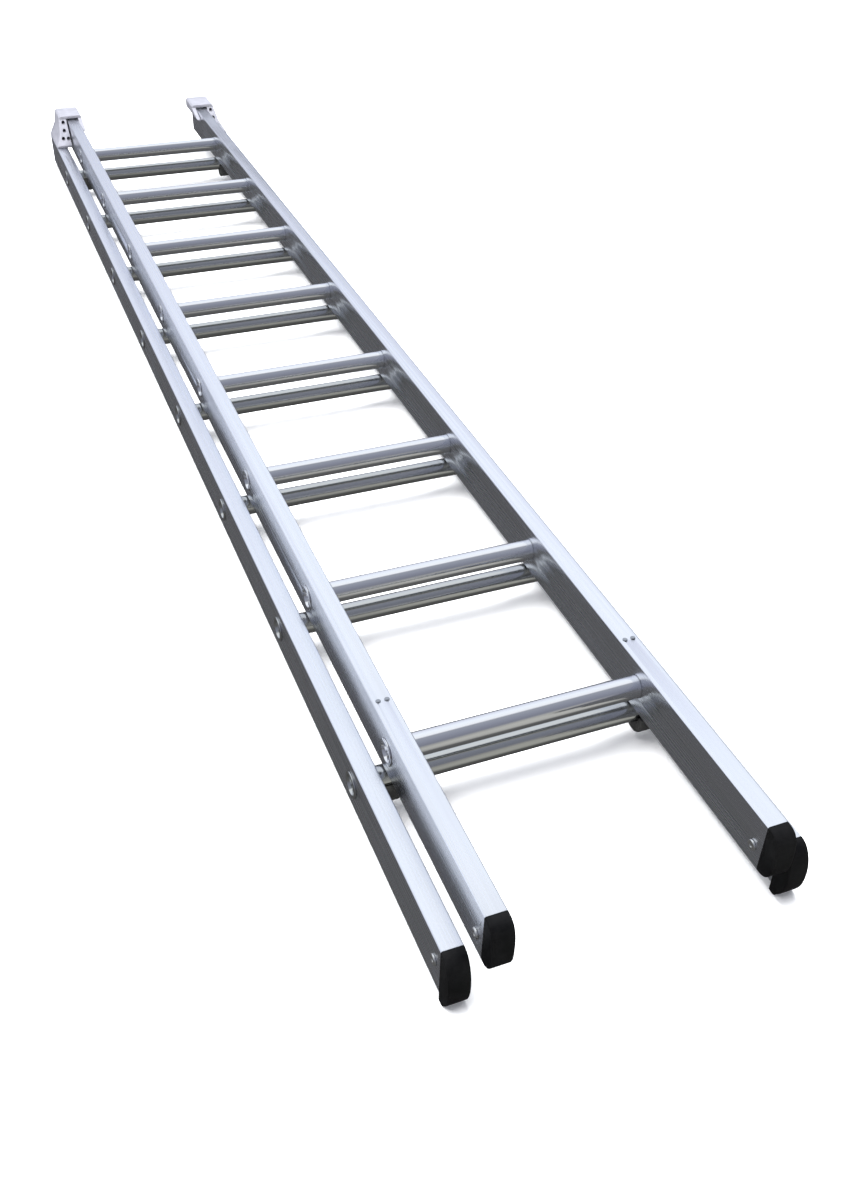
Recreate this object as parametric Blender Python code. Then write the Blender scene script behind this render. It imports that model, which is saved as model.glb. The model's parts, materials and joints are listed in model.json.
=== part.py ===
"""Two-section aluminium extension ladder, lying flat with the fly section on top of the base.

Metres, +Z up. +Y runs from the feet to the head, +X is to the right seen from the feet.
The origin is at the middle of the ladder's footprint, on the floor.
Each section is two box-section stiles with eight hollow rungs through them. The fly section
lies on the base section and slides along +Y, held by a guide bracket on each base stile's head.
"""

import math

import bmesh
import bpy
from mathutils import Matrix, Vector

# ------------------------------------------------------------------ driving dimensions (metres)
RUNG_COUNT = 8                 # rungs in each section
RUNG_PITCH = 0.250             # from one rung's axis to the next
FOOT_TO_RUNG = 0.225           # stile's foot end to the first rung's axis
RUNG_TO_HEAD = 0.195           # last rung's axis to the stile's head end
STILE_THICK = 0.021            # stile, across the ladder
STILE_DEPTH = 0.056            # stile, front to back
STILE_WALL = 0.0020            # wall of the box section
STILE_CHAMFER = 0.0012         # broken outer corners of the box section
CAVITY_CHAMFER = 0.0003        # the same inside
BASE_WIDTH = 0.352             # over the base stiles' outer faces
STILE_GAP = 0.011              # between a base stile's inner face and the fly stile beside it
RUNG_SIZE = 0.0245             # rung, front to back
FLY_CLEARANCE = 0.0025         # fly stile over the base rungs
PLATE_CLEARANCE = 0.0015       # guide plate over the fly stile
SOLE_DROP = 0.010              # soles below the base stile's back face
FLY_SETBACK = 0.010            # the closed fly stands this much towards the feet
FIT_GAP = 0.0003               # between pieces that touch

SPIGOT_R = 0.0108              # rung's round end, through both walls of the stile
BORE_R = 0.0093                # hollow of the rung
RIM_R = 0.0142                 # flared rim on the stile's outer face
RIM_FACE_R = 0.0130
RIM_HEIGHT = 0.0012
TREAD_REACH = RUNG_SIZE * 0.457   # flat tread's distance from the rung's axis, on the head side
TREAD_HALF = RUNG_SIZE * 0.25  # half of the tread's width
TREAD_SHOULDERS = ((0.40, 0.93), (0.73, 0.73))   # shares of the rung's half-size, towards the tread
ROUND_SEGMENTS = 16

FOOT_PLUG = 0.030              # foot's plug inside the stile
BASE_FOOT_BULGE = 0.019        # base foot's nose beyond the stile's end
FLY_FOOT_BULGE = 0.018         # fly foot's nose beyond the stile's end
NOSE_STEPS = 12                # facets round a foot's nose
BASE_NOSE_FULLNESS = 0.95      # 1 is an ellipse, less is squarer
FLY_NOSE_FULLNESS = 0.75
SOLE_TOE = 0.62                # the sole's flat, as a share of the nose above it
FOOT_RIVET_SETBACK = 0.0125    # rivet's axis from the stile's end
BASE_RIVET_HEIGHT = 0.030      # rivet's axis above the stile's back face
FLY_RIVET_HEIGHT = 0.020
RIVET_HEAD_R = 0.0055
RIVET_HEAD_HEIGHT = 0.0015
RIVET_SHANK_R = 0.0024
RIVET_SHOULDER = (0.55, 0.85)  # shares of the head's height and radius where its dome turns
RIVET_CROWN = 0.40             # share of the head's radius that is flat
RIVET_SEGMENTS = 12

TOP_RIVET_PAST_RUNG = 0.040    # pair of rivets on the fly stile's front face, past its first rung
TOP_RIVET_SPREAD = 0.009       # between the pair
TOP_RIVET_R = 0.0028
TOP_RIVET_HEIGHT = 0.0008
TOP_RIVET_SHANK_R = 0.0014
TOP_RIVET_CROWN = 0.6          # share of the head's radius that is flat

GUIDE_LENGTH = 0.055           # guide bracket along the stile
GUIDE_PLATE = 0.005            # its plate over the fly stile
GUIDE_SIDE_GAP = 0.0023        # body's inner face to the fly stile's outer face
GUIDE_LIP_GAP = 0.0008         # lip to the fly stile's inner face
GUIDE_LIP = 0.0075             # lip's thickness
GUIDE_LIP_DEPTH = 0.0125       # lip's reach below the fly stile's front face
GUIDE_TOE = 0.042              # reach of the body's and the lip's lower edges past the plate
GUIDE_TOE_TIP = 0.002          # thickness of those edges' tips
GUIDE_END_PLATE = 0.004        # plate across the base stile's head end
GUIDE_PLUG = 0.030             # plug inside the base stile's head end
GUIDE_EDGE = 0.003             # broken edges of the plate and the lip
GUIDE_SHOULDER = 0.016         # body's outer face set in from the base stile's, at the plate
GUIDE_WAIST = ((0.22, 0.14), (0.72, 0.45))   # shares of that set-in, and of the height it is reached at
POCKET_R = 0.0036              # hollows in the bracket's foot-side face
POCKET_DEPTH = 0.025
POCKET_SEGMENTS = 10
POCKET_SPOTS = ((0.0, 0.78), (0.4, 0.53), (1.9, 0.29), (-0.9, 0.28))   # radii outwards, share of height
HEEL_INSET = 0.0023            # heel in from the stile's faces, under the head end
HEEL_EDGE = 0.003
CUT_PAST = 0.004               # how far a cutting shape stands beyond what it cuts

CLIP_WIDTH = 0.0240            # keeper under a rung's end, across the ladder
CLIP_WALL = 0.0065             # its wall round the rung
CLIP_SOLE = 0.0120             # its thickness under the rung
CLIP_GAP = 0.0004

# ------------------------------------------------------------------ positions that follow
STILE_LENGTH = FOOT_TO_RUNG + (RUNG_COUNT - 1) * RUNG_PITCH + RUNG_TO_HEAD
BASE_OUTER = BASE_WIDTH / 2
BASE_INNER = BASE_OUTER - STILE_THICK
FLY_OUTER = BASE_INNER - STILE_GAP
FLY_INNER = FLY_OUTER - STILE_THICK
FLY_RISE = STILE_DEPTH / 2 + RUNG_SIZE / 2 + FLY_CLEARANCE

BASE_BACK_Z = SOLE_DROP
BASE_FRONT_Z = BASE_BACK_Z + STILE_DEPTH
FLY_BACK_Z = BASE_BACK_Z + FLY_RISE
FLY_FRONT_Z = FLY_BACK_Z + STILE_DEPTH
BASE_RUNG_Z = BASE_BACK_Z + STILE_DEPTH / 2
FLY_RUNG_Z = FLY_BACK_Z + STILE_DEPTH / 2
GUIDE_PLATE_Z = FLY_FRONT_Z + PLATE_CLEARANCE

REACH_FOOT = max(BASE_FOOT_BULGE, FLY_SETBACK + FLY_FOOT_BULGE) + FIT_GAP
REACH_HEAD = STILE_LENGTH + FIT_GAP + GUIDE_END_PLATE
BASE_FOOT_Y = (REACH_FOOT - REACH_HEAD) / 2
BASE_HEAD_Y = BASE_FOOT_Y + STILE_LENGTH
FLY_FOOT_Y = BASE_FOOT_Y - FLY_SETBACK

SIDES = (("left", -1), ("right", 1))


# ------------------------------------------------------------------ helpers
def material(name, colour, roughness, metallic):
    mat = bpy.data.materials.new(name)
    mat.use_nodes = True
    shader = mat.node_tree.nodes["Principled BSDF"]
    shader.inputs["Base Color"].default_value = (*colour, 1.0)
    shader.inputs["Roughness"].default_value = roughness
    shader.inputs["Metallic"].default_value = metallic
    return mat


def add_object(name, bm, look, location=(0.0, 0.0, 0.0), parent=None, smooth=False):
    bmesh.ops.recalc_face_normals(bm, faces=bm.faces[:])
    mesh = bpy.data.meshes.new(name)
    bm.to_mesh(mesh)
    bm.free()
    if smooth:
        mesh.shade_smooth()
        mesh.set_sharp_from_angle(angle=math.radians(35))
    if look is not None:
        mesh.materials.append(look)
    return place(name, mesh, location, parent)


def place(name, mesh, location, parent=None):
    obj = bpy.data.objects.new(name, mesh)
    obj.location = location
    obj.parent = parent
    bpy.context.collection.objects.link(obj)
    return obj


def helper(obj):
    """A shape that only cuts or joins another one."""
    obj.hide_render = True
    obj.display_type = "WIRE"
    return obj


def combine(obj, other, operation):
    mod = obj.modifiers.new(other.name, "BOOLEAN")
    mod.operation = operation
    mod.solver = "EXACT"
    mod.object = other
    return mod


def skin_rings(bm, rings, closed=False):
    """Side faces between rings of equal length; the ends are capped unless the run is closed."""
    loops = [[bm.verts.new(point) for point in ring] for ring in rings]
    pairs = list(zip(loops, loops[1:]))
    if closed:
        pairs.append((loops[-1], loops[0]))
    for a, b in pairs:
        for i in range(len(a)):
            j = (i + 1) % len(a)
            bm.faces.new((a[i], a[j], b[j], b[i]))
    if not closed:
        bm.faces.new(loops[0])
        bm.faces.new(loops[-1])
    return loops


def circle(radius, segments=ROUND_SEGMENTS):
    """Points round the X axis as (y, z), starting at the front and going round by the feet."""
    return [
        (radius * math.cos(math.pi / 2 + 2 * math.pi * i / segments),
         radius * math.sin(math.pi / 2 + 2 * math.pi * i / segments))
        for i in range(segments)
    ]


def prism_x(bm, outline, x0, x1):
    """An outline of (y, z) points, drawn out across the ladder."""
    return skin_rings(bm, [[(x, y, z) for y, z in outline] for x in (x0, x1)])


def prism_y(bm, outline, y0, y1):
    """An outline of (x, z) points, drawn out along the ladder."""
    return skin_rings(bm, [[(x, y, z) for x, z in outline] for y in (y0, y1)])


def chamfered_box(half_x, half_z, chamfer):
    return [
        (half_x - chamfer, half_z), (half_x, half_z - chamfer),
        (half_x, chamfer - half_z), (half_x - chamfer, -half_z),
        (chamfer - half_x, -half_z), (-half_x, chamfer - half_z),
        (-half_x, half_z - chamfer), (chamfer - half_x, half_z),
    ]


def turned_x(bm, stations, segments):
    """A round piece on the X axis; a station of radius 0 is a pole."""
    previous = None
    for x, radius in stations:
        if radius == 0:
            ring = [bm.verts.new((x, 0, 0))]
        else:
            ring = [bm.verts.new((x, y, z)) for y, z in circle(radius, segments)]
        if previous is not None:
            for i in range(segments):
                j = (i + 1) % segments
                if len(previous) == 1:
                    bm.faces.new((previous[0], ring[j], ring[i]))
                elif len(ring) == 1:
                    bm.faces.new((previous[i], previous[j], ring[0]))
                else:
                    bm.faces.new((previous[i], previous[j], ring[j], ring[i]))
        previous = ring


# ------------------------------------------------------------------ stiles
def stile_cutter(name, rivet_height, top_rivets):
    """Round holes for the rungs and for the foot's rivet, in the stile's own frame.

    The stile's own frame has its origin at the middle of its foot end.
    """
    bm = bmesh.new()
    reach = STILE_THICK
    for k in range(RUNG_COUNT):
        y = FOOT_TO_RUNG + k * RUNG_PITCH
        outline = [(y + a, b) for a, b in circle(SPIGOT_R + FIT_GAP)]
        prism_x(bm, outline, -reach, reach)
    z = rivet_height - STILE_DEPTH / 2
    outline = [(FOOT_RIVET_SETBACK + a, z + b) for a, b in circle(RIVET_SHANK_R + FIT_GAP, RIVET_SEGMENTS)]
    prism_x(bm, outline, -reach, reach)
    if top_rivets:
        y = FOOT_TO_RUNG + TOP_RIVET_PAST_RUNG
        for side in (-1, 1):
            x = side * TOP_RIVET_SPREAD / 2
            ring = circle(TOP_RIVET_SHANK_R + FIT_GAP, RIVET_SEGMENTS)
            skin_rings(bm, [[(x + a, y + b, z1) for a, b in ring] for z1 in (STILE_DEPTH / 4, STILE_DEPTH)])
    return helper(add_object(name, bm, None))


def add_stile(name, centre_x, foot_y, back_z, rivet_height, parent=None, top_rivets=False):
    bm = bmesh.new()
    outer = chamfered_box(STILE_THICK / 2, STILE_DEPTH / 2, STILE_CHAMFER)
    inner = chamfered_box(STILE_THICK / 2 - STILE_WALL, STILE_DEPTH / 2 - STILE_WALL, CAVITY_CHAMFER)
    skin_rings(
        bm,
        [
            [(x, 0.0, z) for x, z in outer],
            [(x, STILE_LENGTH, z) for x, z in outer],
            [(x, STILE_LENGTH, z) for x, z in inner],
            [(x, 0.0, z) for x, z in inner],
        ],
        closed=True,
    )
    centre = (centre_x, foot_y, back_z + STILE_DEPTH / 2)
    stile = add_object(name, bm, STILE_LOOK, centre, parent)
    cutter = stile_cutter(name + "_holes", rivet_height, top_rivets)
    cutter.parent = parent
    cutter.location = centre
    combine(stile, cutter, "DIFFERENCE")
    return stile


# ------------------------------------------------------------------ rungs
def rung_outline(grow=0.0):
    """Round, with a flat tread towards the head; starts at the front."""
    half = RUNG_SIZE / 2 + grow
    steps = ROUND_SEGMENTS // 2
    outline = [
        (half * math.cos(math.pi / 2 + math.pi * i / steps), half * math.sin(math.pi / 2 + math.pi * i / steps))
        for i in range(steps + 1)
    ]
    below = [(half * along, -half * across) for along, across in TREAD_SHOULDERS]
    below += [(TREAD_REACH + grow, -TREAD_HALF), (TREAD_REACH + grow, 0.0)]
    above = [(y, -z) for y, z in reversed(below[:3])]
    return outline + below + above


def rung_mesh(name, inner_half, outer_half):
    """A hollow rung whose round ends pass through the stiles and are flared outside them."""
    body_end = inner_half - FIT_GAP
    rim_start = outer_half + FIT_GAP
    rim_end = rim_start + RIM_HEIGHT
    half = [
        (body_end, rung_outline()),
        (body_end, circle(SPIGOT_R)),
        (rim_start, circle(SPIGOT_R)),
        (rim_start, circle(RIM_R)),
        (rim_end, circle(RIM_FACE_R)),
        (rim_end, circle(BORE_R)),
    ]
    stations = [(-x, ring) for x, ring in reversed(half)] + half
    bm = bmesh.new()
    skin_rings(bm, [[(x, y, z) for y, z in ring] for x, ring in stations], closed=True)
    bmesh.ops.recalc_face_normals(bm, faces=bm.faces[:])
    mesh = bpy.data.meshes.new(name)
    bm.to_mesh(mesh)
    bm.free()
    mesh.shade_smooth()
    mesh.set_sharp_from_angle(angle=math.radians(35))
    mesh.materials.append(RUNG_LOOK)
    return mesh


# ------------------------------------------------------------------ feet
def foot_outline(bulge, drop, fullness):
    """Side view of a foot's nose, from the stile's front face round to its back face.

    y is 0 at the stile's end and negative beyond it; z is 0 at the stile's back face.
    A foot that stands below the stile ends in a flat sole.
    """
    full = STILE_DEPTH + drop
    nose = []
    for i in range(NOSE_STEPS + 1):
        turn = math.pi * i / NOSE_STEPS
        y = -bulge * abs(math.sin(turn)) ** fullness
        z = STILE_DEPTH - full * (1 - math.cos(turn)) / 2
        nose.append((y, z))
    if drop > 0:
        nose = nose[:-2]
        nose += [(nose[-1][0] * SOLE_TOE, -drop), (0.0, -drop), (0.0, 0.0)]
    return [(y - FIT_GAP, z) for y, z in nose]


def add_foot(name, centre_x, foot_y, back_z, bulge, drop, fullness, rivet_height, parent=None):
    bm = bmesh.new()
    half = STILE_THICK / 2
    prism_x(bm, foot_outline(bulge, drop, fullness), -half, half)
    bmesh.ops.recalc_face_normals(bm, faces=bm.faces[:])
    bm.faces.ensure_lookup_table()
    seat = max(bm.faces, key=lambda face: face.normal.y * face.calc_area())
    bmesh.ops.inset_region(bm, faces=[seat], thickness=STILE_WALL + FIT_GAP, use_even_offset=True)
    pushed = bmesh.ops.extrude_face_region(bm, geom=[seat])
    corners = [item for item in pushed["geom"] if isinstance(item, bmesh.types.BMVert)]
    bmesh.ops.translate(bm, vec=Vector((0, FOOT_PLUG + FIT_GAP, 0)), verts=corners)
    bmesh.ops.delete(bm, geom=[seat], context="FACES_ONLY")
    foot = add_object(name, bm, RUBBER_LOOK, (centre_x, foot_y, back_z), parent)
    hole = bmesh.new()
    outline = [
        (FOOT_RIVET_SETBACK + a, rivet_height + b)
        for a, b in circle(RIVET_SHANK_R + FIT_GAP, RIVET_SEGMENTS)
    ]
    prism_x(hole, outline, -STILE_THICK, STILE_THICK)
    cutter = helper(add_object(name + "_hole", hole, None, (centre_x, foot_y, back_z), parent))
    combine(foot, cutter, "DIFFERENCE")
    return foot


def foot_rivet_mesh():
    """A rivet through both walls of a stile and the foot's plug, with a head on each face."""
    seat = STILE_THICK / 2 + FIT_GAP
    turn_height, turn_radius = RIVET_SHOULDER
    half = [
        (seat, RIVET_SHANK_R),
        (seat, RIVET_HEAD_R),
        (seat + RIVET_HEAD_HEIGHT * turn_height, RIVET_HEAD_R * turn_radius),
        (seat + RIVET_HEAD_HEIGHT, RIVET_HEAD_R * RIVET_CROWN),
        (seat + RIVET_HEAD_HEIGHT, 0),
    ]
    bm = bmesh.new()
    turned_x(bm, [(-x, r) for x, r in reversed(half)] + half, RIVET_SEGMENTS)
    bmesh.ops.recalc_face_normals(bm, faces=bm.faces[:])
    mesh = bpy.data.meshes.new("foot_rivet")
    bm.to_mesh(mesh)
    bm.free()
    mesh.shade_smooth()
    mesh.set_sharp_from_angle(angle=math.radians(35))
    mesh.materials.append(RIVET_LOOK)
    return mesh


def top_rivet_mesh():
    """A small flush rivet in the fly stile's front face, its axis upright."""
    bm = bmesh.new()
    turned_x(
        bm,
        [
            (-STILE_WALL * 1.5, 0),
            (-STILE_WALL * 1.5, TOP_RIVET_SHANK_R),
            (FIT_GAP, TOP_RIVET_SHANK_R),
            (FIT_GAP, TOP_RIVET_R),
            (FIT_GAP + TOP_RIVET_HEIGHT, TOP_RIVET_R * TOP_RIVET_CROWN),
            (FIT_GAP + TOP_RIVET_HEIGHT, 0),
        ],
        RIVET_SEGMENTS,
    )
    bmesh.ops.rotate(bm, verts=bm.verts[:], matrix=Matrix.Rotation(-math.pi / 2, 3, "Y"))
    bmesh.ops.recalc_face_normals(bm, faces=bm.faces[:])
    mesh = bpy.data.meshes.new("top_rivet")
    bm.to_mesh(mesh)
    bm.free()
    mesh.shade_smooth()
    mesh.set_sharp_from_angle(angle=math.radians(35))
    mesh.materials.append(RIVET_LOOK)
    return mesh


# ------------------------------------------------------------------ guide brackets
def add_guide(name, side):
    """Cast bracket on a base stile's head: a body beside the fly stile, a plate over it and a lip.

    Below the plate the body and the lip reach on towards the feet, each to a sloping toe.
    """
    plate_top = GUIDE_PLATE_Z + GUIDE_PLATE
    lip_out = FLY_INNER - GUIDE_LIP_GAP
    lip_in = lip_out - GUIDE_LIP
    lip_low = FLY_FRONT_Z - GUIDE_LIP_DEPTH
    body_in = FLY_OUTER + GUIDE_SIDE_GAP
    shoulder = BASE_OUTER - GUIDE_SHOULDER
    seat_z = BASE_FRONT_Z + FIT_GAP
    rise = plate_top - seat_z
    soft = GUIDE_EDGE
    section = [
        (lip_in, lip_low + soft), (lip_in + soft / 2, lip_low), (lip_out, lip_low),
        (lip_out, GUIDE_PLATE_Z), (body_in, GUIDE_PLATE_Z), (body_in, seat_z), (BASE_OUTER - FIT_GAP, seat_z),
    ]
    for inward, upward in GUIDE_WAIST:
        section.append((BASE_OUTER - GUIDE_SHOULDER * inward, seat_z + rise * upward))
    section += [
        (shoulder, plate_top - soft), (shoulder - soft, plate_top),
        (lip_in + soft, plate_top), (lip_in, plate_top - soft),
    ]
    near_y = BASE_HEAD_Y - GUIDE_LENGTH
    toe_y = near_y - GUIDE_TOE
    far_y = BASE_HEAD_Y + FIT_GAP + GUIDE_END_PLATE
    bm = bmesh.new()
    prism_y(bm, [(side * x, z) for x, z in section], toe_y, far_y)
    guide = add_object(name, bm, CAST_LOOK)

    # plate across the stile's end, with a heel down to the soles' level and a plug in the stile
    bm = bmesh.new()
    heel_in = BASE_INNER + HEEL_INSET
    heel_out = BASE_OUTER - HEEL_INSET
    heel_top = seat_z + HEEL_INSET
    heel = [
        (heel_in, heel_top), (heel_in, HEEL_EDGE), (heel_in + HEEL_EDGE, 0.0),
        (heel_out - HEEL_EDGE, 0.0), (heel_out, HEEL_EDGE), (heel_out, heel_top),
    ]
    prism_y(bm, [(side * x, z) for x, z in heel], BASE_HEAD_Y + FIT_GAP, far_y)
    end_plate = helper(add_object(name + "_end_plate", bm, None))
    combine(guide, end_plate, "UNION")

    bm = bmesh.new()
    slack = STILE_WALL + FIT_GAP
    plug = [
        (BASE_INNER + slack, BASE_BACK_Z + slack), (BASE_OUTER - slack, BASE_BACK_Z + slack),
        (BASE_OUTER - slack, BASE_FRONT_Z - slack), (BASE_INNER + slack, BASE_FRONT_Z - slack),
    ]
    prism_y(bm, [(side * x, z) for x, z in plug], BASE_HEAD_Y - GUIDE_PLUG, far_y - GUIDE_END_PLATE / 2)
    stub = helper(add_object(name + "_plug", bm, None))
    combine(guide, stub, "UNION")

    # the toes: everything above a slope from the plate's edge is taken away
    past = CUT_PAST
    middle = (FLY_INNER + FLY_OUTER) / 2
    slopes = [
        ("lip", lip_in - past, middle + past / 4, lip_low + GUIDE_TOE_TIP, GUIDE_PLATE_Z),
        ("body", middle - past / 4, BASE_OUTER + past, seat_z + 2 * GUIDE_TOE_TIP, plate_top - 2 * soft),
    ]
    for part, x_low, x_high, tip_z, root_z in slopes:
        bm = bmesh.new()
        outline = [
            (toe_y - past, plate_top + past), (near_y, plate_top + past), (near_y, root_z),
            (toe_y, tip_z), (toe_y - past, tip_z),
        ]
        prism_x(bm, outline, *sorted((side * x_low, side * x_high)))
        slope = helper(add_object(f"{name}_{part}_slope", bm, None))
        combine(guide, slope, "DIFFERENCE")

    # round hollows in the body's sloping face
    bm = bmesh.new()
    middle = (body_in + shoulder) / 2
    for outward, upward in POCKET_SPOTS:
        x = middle + POCKET_R * outward
        z = seat_z + rise * upward
        outline = [(side * x + a, z + b) for a, b in circle(POCKET_R, POCKET_SEGMENTS)]
        prism_y(bm, outline, toe_y - past, near_y + POCKET_DEPTH)
    pockets = helper(add_object(name + "_pockets", bm, None))
    combine(guide, pockets, "DIFFERENCE")
    return guide


# ------------------------------------------------------------------ keepers under the end rungs
def add_keeper(name, side, rung_y):
    """Moulded keeper round the near and back sides of a base rung's end, against the stile."""
    inner = rung_outline(CLIP_GAP)[ROUND_SEGMENTS // 4:ROUND_SEGMENTS // 2 + 2]
    outer_y = inner[0][0] - CLIP_WALL
    low = -RUNG_SIZE / 2 - CLIP_SOLE
    heel_y = inner[-1][0]
    outline = inner + [
        (heel_y + CLIP_SOLE * 0.25, low + CLIP_SOLE * 0.65), (heel_y, low + CLIP_SOLE * 0.2),
        (heel_y - CLIP_SOLE * 0.35, low), (outer_y + CLIP_SOLE * 0.9, low),
        (outer_y + CLIP_SOLE * 0.35, low + CLIP_SOLE * 0.3), (outer_y, low + CLIP_SOLE * 0.9),
        (outer_y, inner[0][1]),
    ]
    bm = bmesh.new()
    clip_end = BASE_INNER - FIT_GAP
    x0, x1 = sorted((side * clip_end, side * (clip_end - CLIP_WIDTH)))
    prism_x(bm, outline, x0, x1)
    return add_object(name, bm, KEEPER_LOOK, (0.0, rung_y, BASE_RUNG_Z))


# ------------------------------------------------------------------ the ladder
for old in list(bpy.data.objects):
    bpy.data.objects.remove(old, do_unlink=True)

STILE_LOOK = material("stile_aluminium", (0.74, 0.76, 0.80), 0.32, 1.0)
RUNG_LOOK = material("rung_aluminium", (0.72, 0.73, 0.76), 0.28, 1.0)
CAST_LOOK = material("cast_aluminium", (0.70, 0.70, 0.71), 0.50, 1.0)
RUBBER_LOOK = material("black_rubber", (0.018, 0.018, 0.019), 0.62, 0.0)
KEEPER_LOOK = material("black_nylon", (0.020, 0.020, 0.022), 0.45, 0.0)
RIVET_LOOK = material("rivet_metal", (0.78, 0.78, 0.77), 0.35, 1.0)

# the fly section hangs from an empty on the line it slides along
fly_slide = bpy.data.objects.new("fly_slide", None)
fly_slide.location = (0.0, FLY_FOOT_Y, FLY_RUNG_Z)
bpy.context.collection.objects.link(fly_slide)

base_rung = rung_mesh("base_rung", BASE_INNER, BASE_OUTER)
fly_rung = rung_mesh("fly_rung", FLY_INNER, FLY_OUTER)
for k in range(RUNG_COUNT):
    y = FOOT_TO_RUNG + k * RUNG_PITCH
    place(f"base_rung_{k + 1}", base_rung, (0.0, BASE_FOOT_Y + y, BASE_RUNG_Z))
    place(f"fly_rung_{k + 1}", fly_rung, (0.0, y, 0.0), fly_slide)

foot_rivet = foot_rivet_mesh()
top_rivet = top_rivet_mesh()
fly_back = -STILE_DEPTH / 2
for label, side in SIDES:
    base_x = side * (BASE_OUTER - STILE_THICK / 2)
    fly_x = side * (FLY_OUTER - STILE_THICK / 2)

    add_stile(f"base_stile_{label}", base_x, BASE_FOOT_Y, BASE_BACK_Z, BASE_RIVET_HEIGHT)
    add_stile(f"fly_stile_{label}", fly_x, 0.0, fly_back, FLY_RIVET_HEIGHT, fly_slide, top_rivets=True)

    add_foot(f"base_foot_{label}", base_x, BASE_FOOT_Y, BASE_BACK_Z,
             BASE_FOOT_BULGE, SOLE_DROP, BASE_NOSE_FULLNESS, BASE_RIVET_HEIGHT)
    add_foot(f"fly_foot_{label}", fly_x, 0.0, fly_back,
             FLY_FOOT_BULGE, 0.0, FLY_NOSE_FULLNESS, FLY_RIVET_HEIGHT, fly_slide)

    place(f"base_foot_rivet_{label}", foot_rivet,
          (base_x, BASE_FOOT_Y + FOOT_RIVET_SETBACK, BASE_BACK_Z + BASE_RIVET_HEIGHT))
    place(f"fly_foot_rivet_{label}", foot_rivet,
          (fly_x, FOOT_RIVET_SETBACK, fly_back + FLY_RIVET_HEIGHT), fly_slide)

    rivet_y = FOOT_TO_RUNG + TOP_RIVET_PAST_RUNG
    for label_2, way in (("outer", 1), ("inner", -1)):
        rivet_x = fly_x + way * side * TOP_RIVET_SPREAD / 2
        place(f"fly_top_rivet_{label}_{label_2}", top_rivet, (rivet_x, rivet_y, STILE_DEPTH / 2), fly_slide)

    add_guide(f"head_guide_{label}", side)
    add_keeper(f"rung_keeper_foot_{label}", side, BASE_FOOT_Y + FOOT_TO_RUNG)
    add_keeper(f"rung_keeper_head_{label}", side,
               BASE_FOOT_Y + FOOT_TO_RUNG + (RUNG_COUNT - 1) * RUNG_PITCH)
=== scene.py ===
import json
import math

import bpy
from mathutils import Matrix, Vector


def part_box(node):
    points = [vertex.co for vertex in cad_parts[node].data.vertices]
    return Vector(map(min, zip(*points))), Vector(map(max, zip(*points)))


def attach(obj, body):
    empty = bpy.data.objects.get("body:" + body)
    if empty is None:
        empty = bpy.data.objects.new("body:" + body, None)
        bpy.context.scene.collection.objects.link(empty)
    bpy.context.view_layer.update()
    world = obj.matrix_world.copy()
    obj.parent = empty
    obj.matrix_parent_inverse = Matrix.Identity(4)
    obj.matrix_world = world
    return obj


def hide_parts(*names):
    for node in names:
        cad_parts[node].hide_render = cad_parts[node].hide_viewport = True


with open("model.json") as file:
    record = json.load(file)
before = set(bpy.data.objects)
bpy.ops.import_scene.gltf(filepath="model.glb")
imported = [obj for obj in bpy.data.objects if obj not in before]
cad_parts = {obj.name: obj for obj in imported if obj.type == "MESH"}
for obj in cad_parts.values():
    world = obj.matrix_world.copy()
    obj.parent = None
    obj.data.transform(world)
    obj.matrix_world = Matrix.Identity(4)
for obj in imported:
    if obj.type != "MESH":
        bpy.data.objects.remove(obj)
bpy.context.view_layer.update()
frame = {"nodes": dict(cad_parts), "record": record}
nodes = frame["nodes"]
body_of_node = {
    node: body for body, group in frame["record"]["behaviour"]["bodies"].items() for node in group
}

MM = 0.001
GAP = 0.3 * MM                 # the small gap the ladder's solids keep to each other
CUT_PAST = 2 * MM              # a cutter runs this far past what it cuts
AT_FACE = 0.05 * MM            # an edge or face this near to a plane lies on it
HAIR = 0.02 * MM               # less than this is no distance
FACING = 0.999                 # a normal's part along an axis, where the face looks that way
SIDE_ON = 0.5                  # and less than this where it looks elsewhere
SIDEWAYS = 5 * MM              # an edge longer than this across the ladder runs across it
MERGE = 0.00001                # corners nearer than this are one, in metres
FLAT_TURN = 0.6                # degrees between faces that are really one flat
EDGE_TURN = 30                 # degrees at an edge that gets softened
STILE_EDGE_TURN = 35
# degrees at an edge that still shows as an edge
STILE_CREASE, RUNG_CREASE, MOULDED_CREASE = 24, 32, 35

# stiles
STILE_EDGE = 0.45 * MM         # rounding of the extrusion's long corners

# rungs
RUNG_RADIUS = 12.25 * MM
RUNG_SIDES = 64
SPIGOT_RADIUS = 10.8 * MM      # rung's round end in the stile
BORE_RADIUS = 9.3 * MM
TREAD_REACH = 10.7 * MM        # rung's axis to its flat tread
RIB_PITCH = 1.4 * MM
RIB_HEIGHT = 0.5 * MM
RIB_CUTS = range(-4, 4)        # cuts between the ribs, counted from the tread's middle
RIB_SPAN = 3.5                 # ribs stay within this many pitches of the middle
COLLAR = 3.0 * MM              # swaged ring at each end of a rung's body
COLLAR_RISE = 0.3 * MM
RIM_RADIUS = 14.2 * MM         # flared rim of a rung's end
RIM_THICK = 1.2 * MM
RIM_ROLL = 0.9 * MM            # rolled edge of a rim
RIM_SIDES = 56
MOUTH_STEP = 0.2 * MM          # the bore's mouth starts this much smaller than the bore
MOUTH_DEPTH = 3.2 * MM
MOUTH_FLARE = 1.16

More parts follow.
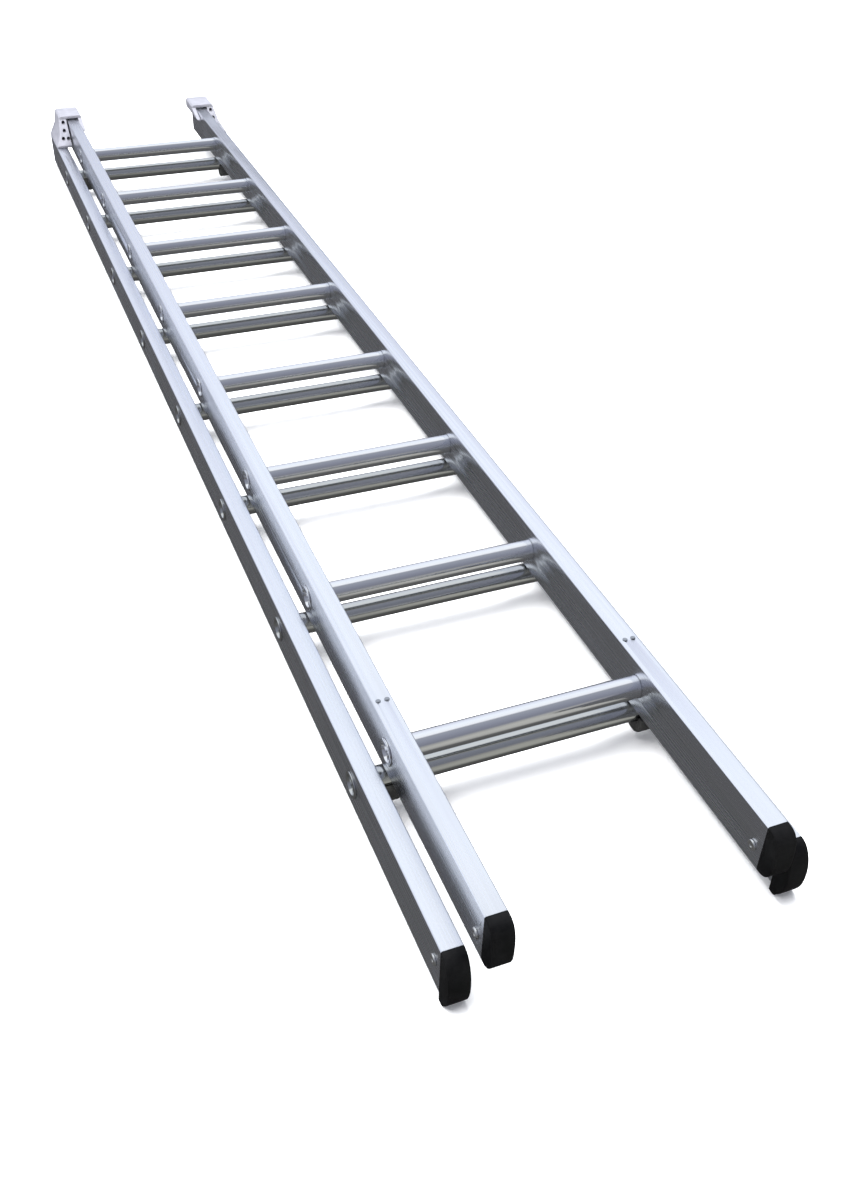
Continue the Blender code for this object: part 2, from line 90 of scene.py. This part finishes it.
# feet
NOSE_OUTLINE = 0.62            # squareness of the nose: 0.5 is round, 1 is square
STANDING_NOSE_OUTLINE = 0.52   # the same of a foot that stands on the floor
NOSE_SEGMENTS = 20
NOSE_BEVEL = 0.499             # just under half of the unit block it is cut from
NOSE_EDGE = 1.6 * MM
HEEL_REACH = 9.5 * MM
HEEL_INSET = 0.4 * MM          # the heel is this much inside the stile's sides
HEEL_TOE = 0.5                 # rounding at the heel's ends, as a share of the sole's height
HEEL_BACK = 0.35
SLIT_PLACE = 0.36              # slit's place across the sole, as a share of its width
SLIT_HALF = 0.7 * MM
SLIT_HEIGHT = 5 * MM
SLIT_STOP = 2 * MM             # solid rubber left behind the slit
PLUG_WALL = 2.3 * MM           # stile's outside to the plug

# rivets through the feet
SHANK_RADIUS = 2.4 * MM
SHANK_SIDES = 32
HEAD_HEIGHT = 1.5 * MM
HEAD_DOME = 1.35 * MM
HEAD_RIM = 0.36                # flat ring round the pulled stem's pit, as a share of the radius
PIT_DEPTH = 0.5 * MM
HEAD_SIDES = 40

# softened edges of the castings, keepers and small rivets
GUIDE_EDGE = 0.8 * MM
KEEPER_EDGE = 2.2 * MM
TOP_RIVET_EDGE = 0.2 * MM


# ---------------------------------------------------------------- small hand moves
def pick_none():
    bpy.ops.object.select_all(action="DESELECT")


def pick(*pieces):
    pick_none()
    for piece in pieces:
        piece.select_set(True)
    bpy.context.view_layer.objects.active = pieces[0]


def edit(piece, mode="FACE"):
    pick(piece)
    bpy.ops.object.mode_set(mode="EDIT")
    bpy.ops.mesh.select_mode(type=mode)
    bpy.ops.mesh.select_all(action="DESELECT")


def done():
    bpy.ops.object.mode_set(mode="OBJECT")


def choose_faces(piece, test):
    """In edit mode: selects the faces whose centre and normal pass the test."""
    bpy.ops.object.mode_set(mode="OBJECT")
    for face in piece.data.polygons:
        face.select = test(face.center, face.normal)
    for edge in piece.data.edges:
        edge.select = False
    bpy.ops.object.mode_set(mode="EDIT")
    bpy.ops.mesh.select_mode(type="FACE")


def choose_edges(piece, test):
    """In edit mode: selects the edges whose two ends pass the test."""
    bpy.ops.object.mode_set(mode="OBJECT")
    points = piece.data.vertices
    for face in piece.data.polygons:
        face.select = False
    for point in points:
        point.select = False
    for edge in piece.data.edges:
        a, b = (points[i].co for i in edge.vertices)
        edge.select = test(a, b)
    bpy.ops.object.mode_set(mode="EDIT")
    bpy.ops.mesh.select_mode(type="EDGE")


def raise_faces(height):
    """In edit mode: extrudes the chosen faces along their normals."""
    bpy.ops.mesh.extrude_region_shrink_fatten(TRANSFORM_OT_shrink_fatten={"value": height})


def settle(piece):
    """Puts the piece's place, turn and size into its mesh."""
    pick(piece)
    bpy.ops.object.transform_apply(location=True, rotation=True, scale=True)


def block(name, low, high):
    """A cube primitive between two corners."""
    low, high = Vector(low), Vector(high)
    pick_none()
    bpy.ops.mesh.primitive_cube_add(size=1, location=(low + high) / 2)
    piece = bpy.context.object
    piece.name = name
    piece.scale = high - low
    settle(piece)
    return piece


def bar(name, radius, start, end, sides=48):
    """A cylinder primitive between two points on a line across the ladder."""
    start, end = Vector(start), Vector(end)
    pick_none()
    bpy.ops.mesh.primitive_cylinder_add(
        vertices=sides, radius=radius, depth=(end - start).length, location=(start + end) / 2,
        rotation=(end - start).to_track_quat("Z", "Y").to_euler(),
    )
    piece = bpy.context.object
    piece.name = name
    settle(piece)
    return piece


def use(piece, kind, **settings):
    """Adds a modifier and applies it."""
    pick(piece)
    mod = piece.modifiers.new(kind.title(), kind)
    for key, value in settings.items():
        setattr(mod, key, value)
    bpy.ops.object.modifier_apply(modifier=mod.name)


def join_in(piece, *others):
    for other in others:
        use(piece, "BOOLEAN", operation="UNION", solver="EXACT", object=other)
        bpy.data.objects.remove(other, do_unlink=True)


def cut_out(piece, *others):
    for other in others:
        use(piece, "BOOLEAN", operation="DIFFERENCE", solver="EXACT", object=other)
        bpy.data.objects.remove(other, do_unlink=True)


def soften(piece, width, segments=3, angle=EDGE_TURN):
    use(piece, "BEVEL", width=width, segments=segments, limit_method="ANGLE",
        angle_limit=math.radians(angle), harden_normals=False, miter_outer="MITER_ARC")


def smooth(piece, angle):
    pick(piece)
    bpy.ops.object.shade_smooth_by_angle(angle=math.radians(angle))


def copy_piece(piece, name, shift):
    pick(piece)
    bpy.ops.object.duplicate(linked=False)
    twin = bpy.context.object
    twin.name = name
    twin.location = shift
    settle(twin)
    return twin


def from_cad(node):
    """A merged copy of a CAD piece's mesh, for edge work."""
    piece = bpy.data.objects.new(node + "_made", nodes[node].data.copy())
    bpy.context.collection.objects.link(piece)
    edit(piece, "VERT")
    bpy.ops.mesh.select_all(action="SELECT")
    bpy.ops.mesh.remove_doubles(threshold=MERGE)
    bpy.ops.mesh.dissolve_limited(angle_limit=math.radians(FLAT_TURN), use_dissolve_boundaries=False)
    done()
    return piece


def fit(piece, node, look):
    """The finished piece stands for a CAD node and rides on its body."""
    piece.data.materials.clear()
    piece.data.materials.append(look)
    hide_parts(node)
    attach(piece, body_of_node[node])


# ---------------------------------------------------------------- finishes
# how fine each pattern is, in waves per metre
DIE_LINES, DIE_LINES_ALONG = 900.0, 1.2
STREAKS, STREAKS_ALONG = 110.0, 0.5
SCUFFS, CAST_GRAIN, CAST_MOTTLE, DUST, RIVET_MARKS = 9.0, 900.0, 70.0, 45.0, 420.0


def shader_of(name, colour, metallic, roughness):
    look = bpy.data.materials.new(name)
    look.use_nodes = True
    tree = look.node_tree
    shader = tree.nodes["Principled BSDF"]
    shader.inputs["Base Color"].default_value = (*colour, 1)
    shader.inputs["Metallic"].default_value = metallic
    shader.inputs["Roughness"].default_value = roughness
    return look, tree, shader


def pattern(tree, stretch, scale, detail=4.0, roughness=0.55):
    """Noise on the piece's own coordinates, stretched along it."""
    where = tree.nodes.new("ShaderNodeTexCoord")
    along = tree.nodes.new("ShaderNodeMapping")
    along.inputs["Scale"].default_value = stretch
    tree.links.new(where.outputs["Object"], along.inputs["Vector"])
    noise = tree.nodes.new("ShaderNodeTexNoise")
    noise.inputs["Scale"].default_value = scale
    noise.inputs["Detail"].default_value = detail
    noise.inputs["Roughness"].default_value = roughness
    tree.links.new(along.outputs["Vector"], noise.inputs["Vector"])
    return noise.outputs["Fac"]


def spread(tree, value, low_in, high_in, low_out, high_out):
    """Spreads a value's middle range over another range."""
    remap = tree.nodes.new("ShaderNodeMapRange")
    remap.inputs["From Min"].default_value = low_in
    remap.inputs["From Max"].default_value = high_in
    remap.inputs["To Min"].default_value = low_out
    remap.inputs["To Max"].default_value = high_out
    tree.links.new(value, remap.inputs["Value"])
    return remap.outputs["Result"]


def tint(tree, value, stops):
    """Turns a value into a colour, by (place, colour) stops."""
    ramp = tree.nodes.new("ShaderNodeValToRGB")
    marks = ramp.color_ramp.elements
    for mark, (place, colour) in zip((marks[0], marks[1]), (stops[0], stops[-1])):
        mark.position = place
        mark.color = (*colour, 1)
    for place, colour in stops[1:-1]:
        marks.new(place).color = (*colour, 1)
    tree.links.new(value, ramp.inputs["Fac"])
    return ramp.outputs["Color"]


def relief(tree, shader, height, strength, depth, below=None):
    """A bump on the shader, over the bump below it if there is one."""
    bump = tree.nodes.new("ShaderNodeBump")
    bump.inputs["Strength"].default_value = strength
    bump.inputs["Distance"].default_value = depth
    tree.links.new(height, bump.inputs["Height"])
    if below is not None:
        tree.links.new(below, bump.inputs["Normal"])
    tree.links.new(bump.outputs["Normal"], shader.inputs["Normal"])
    return bump.outputs["Normal"]


def extruded_aluminium(name, lengthwise, colour, roughness):
    """Mill-finish extrusion: fine die lines along the length, faint broad streaks and a few scuffs."""
    look, tree, shader = shader_of(name, colour, 1.0, roughness)
    fine = tuple(DIE_LINES_ALONG if i == lengthwise else DIE_LINES for i in range(3))
    broad = tuple(STREAKS_ALONG if i == lengthwise else STREAKS for i in range(3))
    lines = pattern(tree, fine, 1.0, detail=2.0)
    streaks = pattern(tree, broad, 1.0, detail=2.0)
    patches = pattern(tree, (1, 1, 1), SCUFFS, detail=6.0)
    dull, pale = tuple(c * 0.965 for c in colour), tuple(min(1, c * 1.03) for c in colour)
    tone = tint(tree, streaks, [(0.30, dull), (0.50, colour), (0.70, pale)])
    tree.links.new(tone, shader.inputs["Base Color"])
    rough = tree.nodes.new("ShaderNodeMath")
    rough.operation = "ADD"
    tree.links.new(spread(tree, lines, 0.3, 0.7, roughness - 0.05, roughness + 0.06), rough.inputs[0])
    tree.links.new(spread(tree, patches, 0.45, 0.75, 0.0, 0.09), rough.inputs[1])
    tree.links.new(rough.outputs[0], shader.inputs["Roughness"])
    first = relief(tree, shader, lines, strength=0.008, depth=0.0001)
    relief(tree, shader, streaks, strength=0.006, depth=0.0010, below=first)
    return look


def cast_aluminium(name, colour, roughness):
    """As-cast aluminium: granular, mottled, half matt oxide and half bare metal."""
    look, tree, shader = shader_of(name, colour, 0.55, roughness)
    grain = pattern(tree, (1, 1, 1), CAST_GRAIN, detail=5.0)
    mottle = pattern(tree, (1, 1, 1), CAST_MOTTLE, detail=5.0)
    dark, pale = tuple(c * 0.86 for c in colour), tuple(min(1, c * 1.08) for c in colour)
    tone = tint(tree, mottle, [(0.30, dark), (0.70, pale)])
    tree.links.new(tone, shader.inputs["Base Color"])
    rough = spread(tree, mottle, 0.3, 0.7, roughness - 0.06, roughness + 0.08)
    tree.links.new(rough, shader.inputs["Roughness"])
    first = relief(tree, shader, grain, strength=0.35, depth=0.0003)
    relief(tree, shader, mottle, strength=0.18, depth=0.0012, below=first)
    return look


def black_moulding(name, colour, roughness, grain_scale, bloom, shine):
    """Black rubber or nylon: fine moulded grain and a faint grey bloom."""
    look, tree, shader = shader_of(name, colour, 0.0, roughness)
    shader.inputs["Specular IOR Level"].default_value = shine
    grain = pattern(tree, (1, 1, 1), grain_scale, detail=6.0, roughness=0.65)
    dust = pattern(tree, (1, 1, 1), DUST, detail=7.0, roughness=0.7)
    tone = tint(tree, dust, [(0.40, colour), (0.78, tuple(c + bloom for c in colour))])
    tree.links.new(tone, shader.inputs["Base Color"])
    rough = spread(tree, dust, 0.35, 0.75, roughness - 0.07, roughness + 0.12)
    tree.links.new(rough, shader.inputs["Roughness"])
    relief(tree, shader, grain, strength=0.30, depth=0.0004)
    return look


def rivet_metal(name, colour, roughness):
    look, tree, shader = shader_of(name, colour, 1.0, roughness)
    marks = pattern(tree, (1, 1, 1), RIVET_MARKS, detail=4.0)
    rough = spread(tree, marks, 0.3, 0.7, roughness - 0.08, roughness + 0.12)
    tree.links.new(rough, shader.inputs["Roughness"])
    relief(tree, shader, marks, strength=0.15, depth=0.0003)
    return look


# ---------------------------------------------------------------- pieces
def make_stile(node, look):
    """Box-section stile: the CAD tube with its long corners rounded."""
    piece = from_cad(node)
    soften(piece, STILE_EDGE, segments=2, angle=STILE_EDGE_TURN)
    piece.name = node + "_extrusion"
    smooth(piece, STILE_CREASE)
    fit(piece, node, look)


def make_rung(node, inner_x):
    """One rung: round towards the feet, ribbed flat tread towards the head, collars and flared ends."""
    low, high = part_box(node)
    y, z = high.y - RIM_RADIUS, (low.z + high.z) / 2
    end, body_end = high.x, inner_x - GAP
    rung = bar(node + "_tube", RUNG_RADIUS, (-body_end, y, z), (body_end, y, z), RUNG_SIDES)
    edit(rung)
    bpy.ops.mesh.select_all(action="SELECT")
    bpy.ops.mesh.bisect(
        plane_co=(0, y + TREAD_REACH, 0), plane_no=(0, 1, 0), clear_outer=True, use_fill=True,
    )
    # lengthwise ribs on the tread
    for step in RIB_CUTS:
        choose_faces(rung, lambda c, n: n.y > FACING)
        bpy.ops.mesh.bisect(plane_co=(0, y, z + (step + 0.5) * RIB_PITCH), plane_no=(0, 0, 1))
    choose_faces(
        rung,
        lambda c, n: n.y > FACING and abs(c.z - z) < RIB_SPAN * RIB_PITCH
        and round((c.z - z) / RIB_PITCH) % 2 == 1,
    )
    raise_faces(RIB_HEIGHT)
    done()
    # a raised collar where the tube is swaged at the stile
    for side in (-1, 1):
        edge = side * (body_end - COLLAR)
        edit(rung)
        bpy.ops.mesh.select_all(action="SELECT")
        bpy.ops.mesh.bisect(plane_co=(edge, y, z), plane_no=(1, 0, 0))
        choose_faces(rung, lambda c, n: side * c.x > abs(edge) and abs(n.x) < SIDE_ON)
        raise_faces(COLLAR_RISE)
        done()
    spigot = bar("spigot", SPIGOT_RADIUS, (-end, y, z), (end, y, z))
    join_in(rung, spigot)
    for side in (-1, 1):
        rim = bar("rim", RIM_RADIUS, (side * (end - RIM_THICK), y, z), (side * end, y, z), RIM_SIDES)
        edit(rim)
        choose_edges(rim, lambda a, b: min(abs(a.x), abs(b.x)) > end - AT_FACE)
        bpy.ops.mesh.bevel(offset=RIM_ROLL, segments=4, affect="EDGES")
        done()
        join_in(rung, rim)
    cut_out(rung, bar("bore", BORE_RADIUS, (-end - CUT_PAST, y, z), (end + CUT_PAST, y, z), RIM_SIDES))
    # the bore's mouth opens out in the rim like a trumpet
    for side in (-1, 1):
        start, stop = (side * (end - MOUTH_DEPTH), y, z), (side * (end + HAIR), y, z)
        mouth = bar("mouth", BORE_RADIUS - MOUTH_STEP, start, stop, RIM_SIDES)
        edit(mouth)
        choose_faces(mouth, lambda c, n: side * n.x > FACING)
        bpy.ops.transform.resize(value=(1, MOUTH_FLARE, MOUTH_FLARE), center_override=(side * end, y, z))
        done()
        cut_out(rung, mouth)
    smooth(rung, RUNG_CREASE)
    return rung, y


def make_foot(node, stile, look):
    """Rubber end cap: a D-shaped nose with rounded sides, a plug in the stile, and on a base foot
    a slit sole below the stile."""
    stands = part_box(stile)[0].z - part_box(node)[0].z > MM
    low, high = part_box(node)
    tube_low, tube_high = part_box(stile)
    seat = tube_low.y - GAP
    bulge = seat - low.y
    mid_x = (tube_low.x + tube_high.x) / 2
    tall = high.z - low.z
    foot = block(node + "_cap", (-0.5, -0.5, -0.5), (0.5, 0.5, 0.5))
    edit(foot)
    choose_edges(foot, lambda a, b: abs(a.x - b.x) > 0.5)
    outline = STANDING_NOSE_OUTLINE if stands else NOSE_OUTLINE
    bpy.ops.mesh.bevel(
        offset=NOSE_BEVEL, segments=NOSE_SEGMENTS, profile=outline, affect="EDGES", clamp_overlap=True,
    )
    bpy.ops.mesh.select_all(action="SELECT")
    bpy.ops.mesh.bisect(plane_co=(0, 0, 0), plane_no=(0, 1, 0), clear_outer=True, use_fill=True)
    bpy.ops.mesh.select_all(action="SELECT")
    wide = tube_high.x - tube_low.x
    bpy.ops.transform.resize(value=(wide, 2 * bulge, tall), center_override=(0, 0, 0))
    bpy.ops.transform.translate(value=(mid_x, seat, (low.z + high.z) / 2))
    done()
    # softened sides of the nose, the edges at the stile left square
    edit(foot)
    choose_edges(foot, lambda a, b: abs(a.x - b.x) < HAIR and min(a.y, b.y) < seat - HAIR)
    bpy.ops.mesh.bevel(offset=NOSE_EDGE, segments=4, affect="EDGES", clamp_overlap=True)
    done()
    if stands:
        sole = tube_low.z - low.z
        heel = block(
            "heel",
            (tube_low.x + HEEL_INSET, seat - HEEL_REACH, low.z),
            (tube_high.x - HEEL_INSET, seat, tube_low.z),
        )

        def under(a, b):
            """An edge across the heel's underside."""
            return abs(a.x - b.x) > SIDEWAYS and max(a.z, b.z) < low.z + MM

        edit(heel)
        choose_edges(heel, lambda a, b: under(a, b) and max(a.y, b.y) < seat - MM)
        bpy.ops.mesh.bevel(offset=sole * HEEL_TOE, segments=5, affect="EDGES")
        choose_edges(heel, lambda a, b: under(a, b) and min(a.y, b.y) > seat - MM)
        bpy.ops.mesh.bevel(offset=sole * HEEL_BACK, segments=4, affect="EDGES")
        done()
        join_in(foot, heel)
        slit_x = tube_low.x + wide * SLIT_PLACE if mid_x < 0 else tube_high.x - wide * SLIT_PLACE
        slit = block(
            "slit",
            (slit_x - SLIT_HALF, low.y - MM, low.z - MM),
            (slit_x + SLIT_HALF, seat - SLIT_STOP, low.z + SLIT_HEIGHT),
        )
        cut_out(foot, slit)
    plug = block(
        "plug",
        (tube_low.x + PLUG_WALL, seat - MM, tube_low.z + PLUG_WALL),
        (tube_high.x - PLUG_WALL, high.y, tube_high.z - PLUG_WALL),
    )
    join_in(foot, plug)
    smooth(foot, MOULDED_CREASE)
    fit(foot, node, look)


def make_foot_rivet(node, look):
    """Domed rivet heads on both faces of the stile, with the small pit of a pulled stem."""
    low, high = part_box(node)
    y, z = (low.y + high.y) / 2, (low.z + high.z) / 2
    radius = (high.z - low.z) / 2
    rivet = bar(node + "_pulled", SHANK_RADIUS, (low.x + MM, y, z), (high.x - MM, y, z), SHANK_SIDES)
    for x, way in ((low.x, 1), (high.x, -1)):
        head = bar("head", radius, (x, y, z), (x + way * HEAD_HEIGHT, y, z), HEAD_SIDES)
        edit(head)
        choose_edges(head, lambda a, b: max(abs(a.x - x), abs(b.x - x)) < AT_FACE)
        bpy.ops.mesh.bevel(offset=HEAD_DOME, segments=5, affect="EDGES")
        choose_faces(head, lambda c, n: abs(c.x - x) < AT_FACE and abs(n.x) > FACING)
        bpy.ops.mesh.inset(thickness=radius * HEAD_RIM)
        raise_faces(-PIT_DEPTH)
        done()
        join_in(rivet, head)
    smooth(rivet, MOULDED_CREASE)
    fit(rivet, node, look)


def make_from_cad(node, name, look, width, segments=3):
    """A piece of the CAD's own shape, with softened edges."""
    piece = from_cad(node)
    piece.name = name
    soften(piece, width, segments)
    smooth(piece, MOULDED_CREASE)
    fit(piece, node, look)


# ---------------------------------------------------------------- studio: camera, floor and soft light
# degrees up from straight ahead (+Y), over the top and down behind the feet, with each panel's light
STUDIO_PANELS = (
    (-179, (0.15, 0.15, 0.15)), (-135, (0.13, 0.13, 0.13)), (-100, (0.10, 0.10, 0.10)),
    (-8, (0.105, 0.105, 0.11)), (4, (0.66, 0.69, 0.80)), (25, (0.86, 0.90, 1.02)), (45, (0.98, 1.04, 1.13)),
    (84, (1.02, 1.05, 1.09)), (94, (0.36, 0.38, 0.44)), (125, (0.29, 0.31, 0.38)),
    (165, (0.22, 0.23, 0.28)),
    (179, (0.16, 0.16, 0.17)),
)


# the eye: how far left of the ladder's middle, before the fly's feet and above the base stiles' back it is
EYE_LEFT, EYE_BEFORE, EYE_ABOVE = 0.4291, 0.5425, 0.8956
EYE_HEADING, EYE_PITCH, EYE_ROLL = 23.138, 38.107, 2.060     # degrees: to the right, down, clockwise
LENS, SENSOR, FAR_CLIP = 36.78, 36.0, 60.0
FLOOR_SIDE = 60                # metres, well past what the camera sees
LOW_PANEL = Vector((0.62, -0.74, -0.20))                     # towards the pale low panel
LOW_PANEL_EDGE, LOW_PANEL_CORE = 0.80, 0.93                  # cosines of its outer and inner rings


def set_camera():
    foot_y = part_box("fly_stile_left")[0].y
    back_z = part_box("base_stile_left")[0].z
    heading, pitch, roll = (math.radians(turn) for turn in (EYE_HEADING, EYE_PITCH, EYE_ROLL))
    level_reach = math.cos(pitch)
    ahead = Vector((math.sin(heading) * level_reach, math.cos(heading) * level_reach, -math.sin(pitch)))
    level = ahead.cross(Vector((0, 0, 1))).normalized()
    over = level.cross(ahead)
    right = level * math.cos(roll) + over * math.sin(roll)
    up = over * math.cos(roll) - level * math.sin(roll)
    bpy.ops.object.camera_add(location=(-EYE_LEFT, foot_y - EYE_BEFORE, back_z + EYE_ABOVE))
    camera = bpy.context.object
    camera.name = "ladder_camera"
    camera.rotation_euler = Matrix((right, up, -ahead)).transposed().to_euler()
    camera.data.lens = LENS
    camera.data.sensor_width = SENSOR
    camera.data.clip_end = FAR_CLIP
    camera.data.dof.use_dof = False
    bpy.context.scene.camera = camera


def set_floor():
    pick_none()
    bpy.ops.mesh.primitive_plane_add(size=FLOOR_SIDE, location=(0, 0, 0))
    floor = bpy.context.object
    floor.name = "studio_floor"
    look, _, shader = shader_of("pale_floor", (0.90, 0.90, 0.90), 0.0, 0.9)
    shader.inputs["Specular IOR Level"].default_value = 0.0
    shader.inputs["Emission Color"].default_value = (1, 1, 1, 1)
    shader.inputs["Emission Strength"].default_value = 0.12
    floor.data.materials.append(look)
    floor.visible_glossy = False


def set_world():
    """A studio of soft panels: bright ahead of the ladder's head and overhead, grey behind the feet,
    dark low down."""
    world = bpy.data.worlds.new("studio")
    bpy.context.scene.world = world
    world.use_nodes = True
    tree = world.node_tree
    back = tree.nodes["Background"]
    where = tree.nodes.new("ShaderNodeTexCoord")
    split = tree.nodes.new("ShaderNodeSeparateXYZ")
    tree.links.new(where.outputs["Generated"], split.inputs[0])
    turn = tree.nodes.new("ShaderNodeMath")
    turn.operation = "ARCTAN2"
    tree.links.new(split.outputs["Z"], turn.inputs[0])
    tree.links.new(split.outputs["Y"], turn.inputs[1])
    round_x = spread(tree, turn.outputs[0], -math.pi, math.pi, 0, 1)
    panels = tint(tree, round_x, [(0.5 + degrees / 360, colour) for degrees, colour in STUDIO_PANELS])
    # a pale low panel behind the feet, to the right
    spot = tree.nodes.new("ShaderNodeVectorMath")
    spot.operation = "DOT_PRODUCT"
    spot.inputs[1].default_value = LOW_PANEL.normalized()
    tree.links.new(where.outputs["Generated"], spot.inputs[0])
    mask = spread(tree, spot.outputs["Value"], LOW_PANEL_EDGE, LOW_PANEL_CORE, 0, 1)
    mix = tree.nodes.new("ShaderNodeMix")
    mix.data_type = "RGBA"
    mix.inputs["B"].default_value = (0.52, 0.52, 0.49, 1)
    tree.links.new(mask, mix.inputs["Factor"])
    tree.links.new(panels, mix.inputs["A"])
    tree.links.new(mix.outputs["Result"], back.inputs["Color"])
    # the eye sees plain pale paper past the floor, the metal sees the panels
    paper = tree.nodes.new("ShaderNodeBackground")
    paper.inputs["Color"].default_value = (0.92, 0.93, 0.95, 1)
    ray = tree.nodes.new("ShaderNodeLightPath")
    choose = tree.nodes.new("ShaderNodeMixShader")
    tree.links.new(ray.outputs["Is Camera Ray"], choose.inputs["Fac"])
    tree.links.new(back.outputs["Background"], choose.inputs[1])
    tree.links.new(paper.outputs["Background"], choose.inputs[2])
    tree.links.new(choose.outputs["Shader"], tree.nodes["World Output"].inputs["Surface"])


def soft_lamp(name, place, aim, size, watts):
    bpy.ops.object.light_add(type="AREA", location=place)
    lamp = bpy.context.object
    lamp.name = name
    lamp.data.shape = "RECTANGLE"
    lamp.data.size, lamp.data.size_y = size
    lamp.data.energy = watts
    lamp.rotation_euler = (Vector(aim) - Vector(place)).to_track_quat("-Z", "Y").to_euler()
    lamp.visible_glossy = False


# ---------------------------------------------------------------- the ladder
set_camera()
set_floor()
set_world()
soft_lamp("overhead_softbox", place=(-0.3, -0.2, 3.6), aim=(0, 0, 0), size=(2.4, 4.6), watts=520)
bpy.context.scene.view_settings.view_transform = "Standard"
bpy.context.scene.view_settings.look = "None"

stile_metal = extruded_aluminium("stile_mill_finish", 1, (0.84, 0.86, 0.91), 0.25)
rung_metal = {
    "fly": extruded_aluminium("fly_rung_mill_finish", 0, (0.84, 0.85, 0.87), 0.10),
    # base rungs: the fly rungs' same metal made darker, painted shade for the shade they lie in under the
    # fly rungs
    "base": extruded_aluminium("base_rung_painted_shade", 0, (0.60, 0.61, 0.60), 0.13),
}
cast_metal = cast_aluminium("bracket_casting", (0.44, 0.44, 0.49), 0.48)
foot_rubber = black_moulding(
    "foot_rubber", (0.0020, 0.0020, 0.0023), roughness=0.62, grain_scale=700.0, bloom=0.005, shine=0.16,
)
keeper_nylon = black_moulding(
    "keeper_nylon", (0.026, 0.026, 0.024), roughness=0.50, grain_scale=500.0, bloom=0.016, shine=0.45,
)
rivet_bright = rivet_metal("rivet_bright", (0.82, 0.82, 0.80), 0.30)
rivet_dull = rivet_metal("rivet_dull", (0.42, 0.44, 0.47), 0.42)

for section in ("base", "fly"):
    for side in ("left", "right"):
        make_stile(f"{section}_stile_{side}", stile_metal)
    inner_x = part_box(f"{section}_stile_right")[0].x
    first, first_y = make_rung(f"{section}_rung_1", inner_x)
    for k in range(2, 9):
        node = f"{section}_rung_{k}"
        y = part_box(node)[1].y - RIM_RADIUS
        twin = copy_piece(first, node + "_tube", (0, y - first_y, 0))
        fit(twin, node, rung_metal[section])
    fit(first, f"{section}_rung_1", rung_metal[section])

for side in ("left", "right"):
    for section in ("base", "fly"):
        make_foot(f"{section}_foot_{side}", f"{section}_stile_{side}", foot_rubber)
        make_foot_rivet(f"{section}_foot_rivet_{side}", rivet_bright)
    guide = f"head_guide_{side}"
    make_from_cad(guide, guide + "_casting", cast_metal, GUIDE_EDGE)
    for place in ("foot", "head"):
        keeper = f"rung_keeper_{place}_{side}"
        make_from_cad(keeper, keeper + "_moulding", keeper_nylon, KEEPER_EDGE, segments=4)
    for place in ("inner", "outer"):
        rivet = f"fly_top_rivet_{side}_{place}"
        make_from_cad(rivet, rivet + "_head", rivet_dull, TOP_RIVET_EDGE, segments=2)
